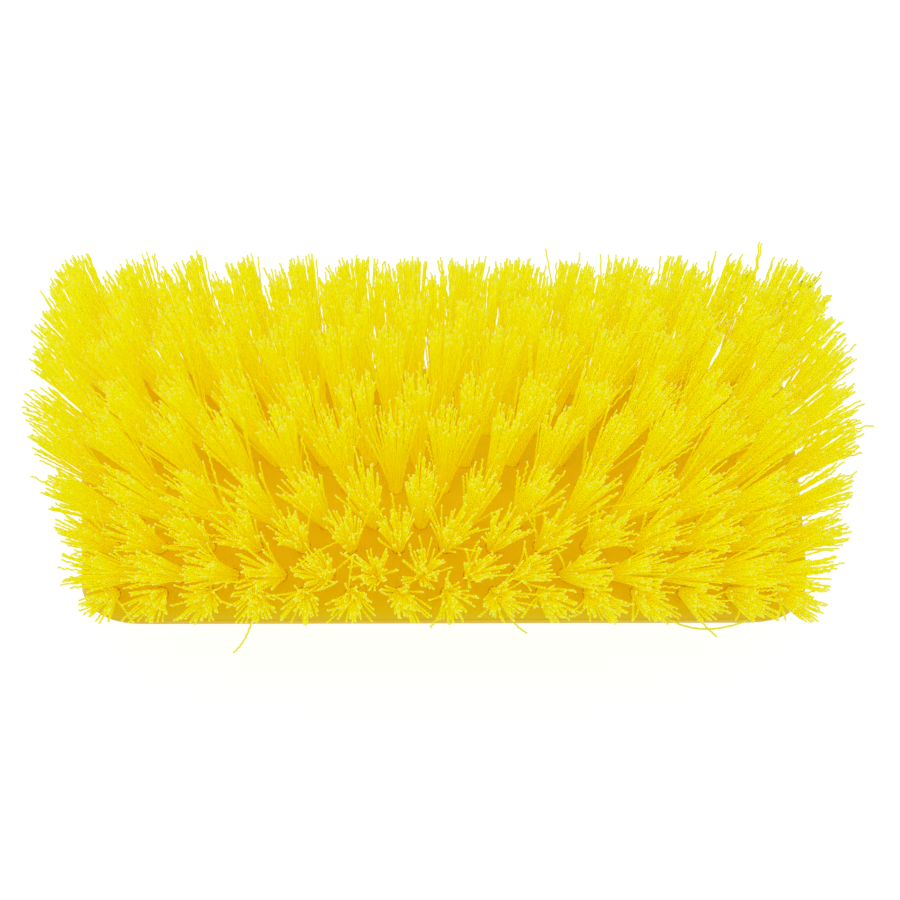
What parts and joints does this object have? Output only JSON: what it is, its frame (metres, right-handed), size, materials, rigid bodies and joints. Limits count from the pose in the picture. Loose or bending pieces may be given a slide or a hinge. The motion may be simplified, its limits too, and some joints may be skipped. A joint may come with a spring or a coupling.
{
  "type": "scrub brush head",
  "caption": "Yellow multi-angle wash and scrub brush head: a moulded block with staggered rows of crimped bristle tufts that fan out, and a handle socket in its back.",
  "frame": {"origin": "middle of the flat pad on the back of the block, which it rests on with the bristles up", "axes": "+X along the block's length, +Y across it towards the row of tufts with the smaller number, +Z out of the tuft face"},
  "size_m": [0.3048, 0.1683, 0.0842],
  "materials": {
    "block": "satin moulded polypropylene, yellow through",
    "bristle": "crimped synthetic filament, yellow, with paler cut ends",
    "anchor": "plain wire"
  },
  "bodies": {
    "root": {"brush_block": "block", "tufts_a_1": "bristle", "tufts_a_2": "bristle", "tufts_a_3": "bristle", "tufts_a_4": "bristle", "tufts_a_5": "bristle", "tufts_b_1": "bristle", "tufts_b_2": "bristle", "tufts_b_3": "bristle", "tufts_b_4": "bristle", "tufts_b_5": "bristle", "tufts_c_1": "bristle", "tufts_c_2": "bristle", "tufts_c_3": "bristle", "tufts_c_4": "bristle", "tufts_c_5": "bristle", "tufts_d_1": "bristle", "tufts_d_2": "bristle", "tufts_d_3": "bristle", "tufts_d_4": "bristle", "tufts_d_5": "bristle", "tufts_e_1": "bristle", "tufts_e_2": "bristle", "tufts_e_3": "bristle", "tufts_e_4": "bristle", "tufts_e_5": "bristle", "tufts_f_1": "bristle", "tufts_f_2": "bristle", "tufts_f_3": "bristle", "tufts_f_4": "bristle", "tufts_f_5": "bristle", "tufts_g_1": "bristle", "tufts_g_2": "bristle", "tufts_g_3": "bristle", "tufts_g_4": "bristle", "tufts_g_5": "bristle", "tufts_h_1": "bristle", "tufts_h_2": "bristle", "tufts_h_3": "bristle", "tufts_h_4": "bristle", "tufts_h_5": "bristle", "tufts_i_1": "bristle", "tufts_i_2": "bristle", "tufts_i_3": "bristle", "tufts_i_4": "bristle", "tufts_i_5": "bristle", "tufts_j_1": "bristle", "tufts_j_2": "bristle", "tufts_j_3": "bristle", "tufts_j_4": "bristle", "tufts_j_5": "bristle"}
  },
  "joints": []
}
